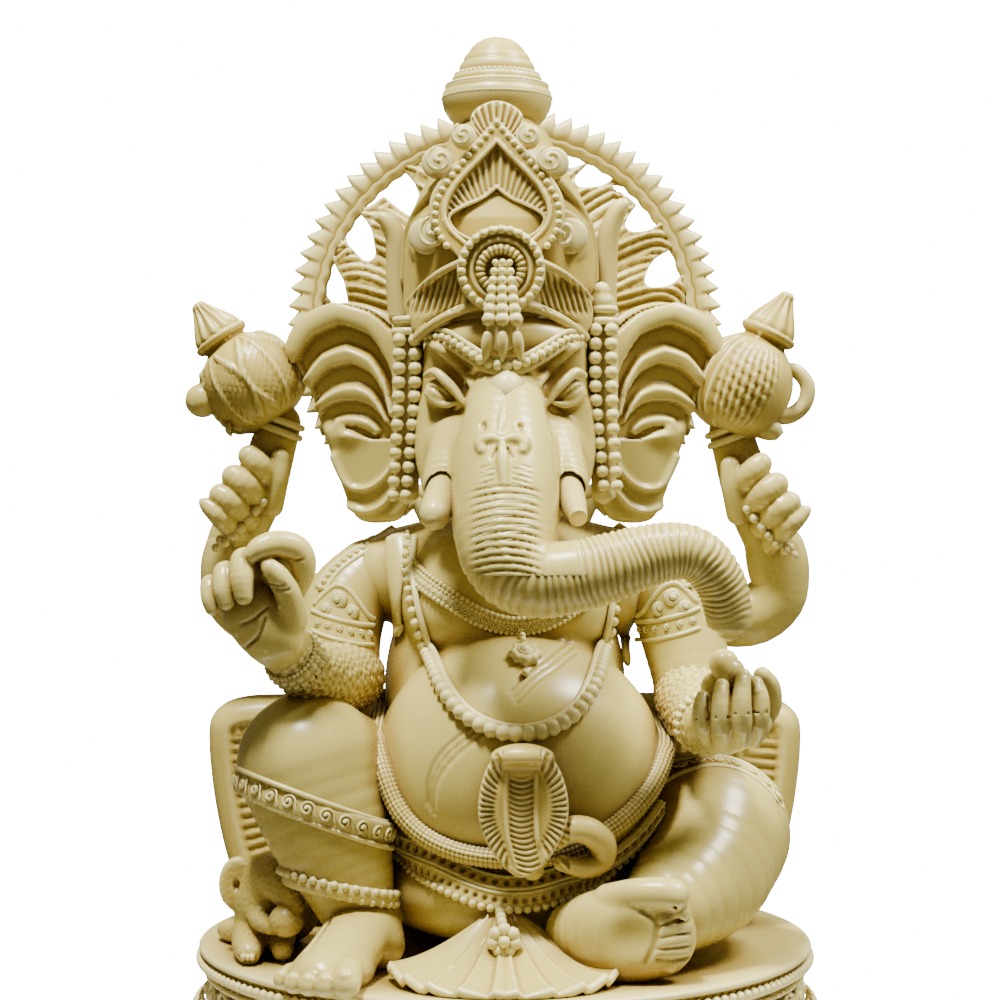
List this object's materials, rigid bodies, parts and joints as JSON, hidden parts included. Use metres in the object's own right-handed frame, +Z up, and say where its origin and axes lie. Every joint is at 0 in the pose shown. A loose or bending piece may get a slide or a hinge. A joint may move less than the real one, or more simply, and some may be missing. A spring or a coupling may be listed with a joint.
{
  "type": "ganesha idol",
  "caption": "Seated elephant-headed devotional statue on a round pedestal, in ivory-coloured marble-dust resin, with toothed halo ring, crown, raised rear hands and sideways trunk.",
  "frame": {"origin": "centre of the round underside, on the surface that the statue stands on", "axes": "+Z up through the crown; the figure faces -Y, so its right side is towards -X"},
  "size_m": [0.194, 0.194, 0.305],
  "materials": {
    "polished_resin": "hand-polished cast marble-dust resin, semi-gloss",
    "carved_resin": "cast marble-dust resin with fine relief, satin, darker in the recesses",
    "pedestal_resin": "cast marble-dust resin, satin",
    "felt": "pressed felt sheet"
  },
  "bodies": {
    "root": {"back_cushion": "carved_resin", "base_felt": "felt", "belt_tassel": "carved_resin", "bud_vessel": "carved_resin", "collar": "carved_resin", "collar_pendant": "carved_resin", "crown_body": "carved_resin", "crown_finial": "carved_resin", "crown_medallion": "carved_resin", "crown_plaque": "carved_resin", "crown_tassel": "carved_resin", "drape_fan": "polished_resin", "forehead_band": "carved_resin", "forehead_jewel": "carved_resin", "halo_flames": "carved_resin", "halo_ring": "carved_resin", "head": "polished_resin", "held_sweet": "polished_resin", "left_crown_crest": "carved_resin", "left_ear": "polished_resin", "left_foot": "polished_resin", "left_forearm": "polished_resin", "left_hand": "polished_resin", "left_leg": "polished_resin", "left_sash_end": "polished_resin", "left_side_pendant": "carved_resin", "left_tusk": "polished_resin", "left_upper_arm": "polished_resin", "long_necklace": "carved_resin", "mouse": "carved_resin", "pedestal": "pedestal_resin", "rear_left_arm": "polished_resin", "rear_left_hand": "polished_resin", "rear_right_arm": "polished_resin", "rear_right_hand": "polished_resin", "right_anklet": "carved_resin", "right_crown_crest": "carved_resin", "right_ear": "polished_resin", "right_foot": "polished_resin", "right_forearm": "polished_resin", "right_hand": "polished_resin", "right_knee_band": "carved_resin", "right_leg": "polished_resin", "right_sash_end": "polished_resin", "right_side_pendant": "carved_resin", "right_tusk": "polished_resin", "right_upper_arm": "polished_resin", "serpent_girdle": "carved_resin", "serpent_hood": "carved_resin", "sweet_bowl": "polished_resin", "torso": "polished_resin", "trunk": "polished_resin", "waist_belt": "carved_resin", "water_pot": "carved_resin"}
  },
  "joints": []
}
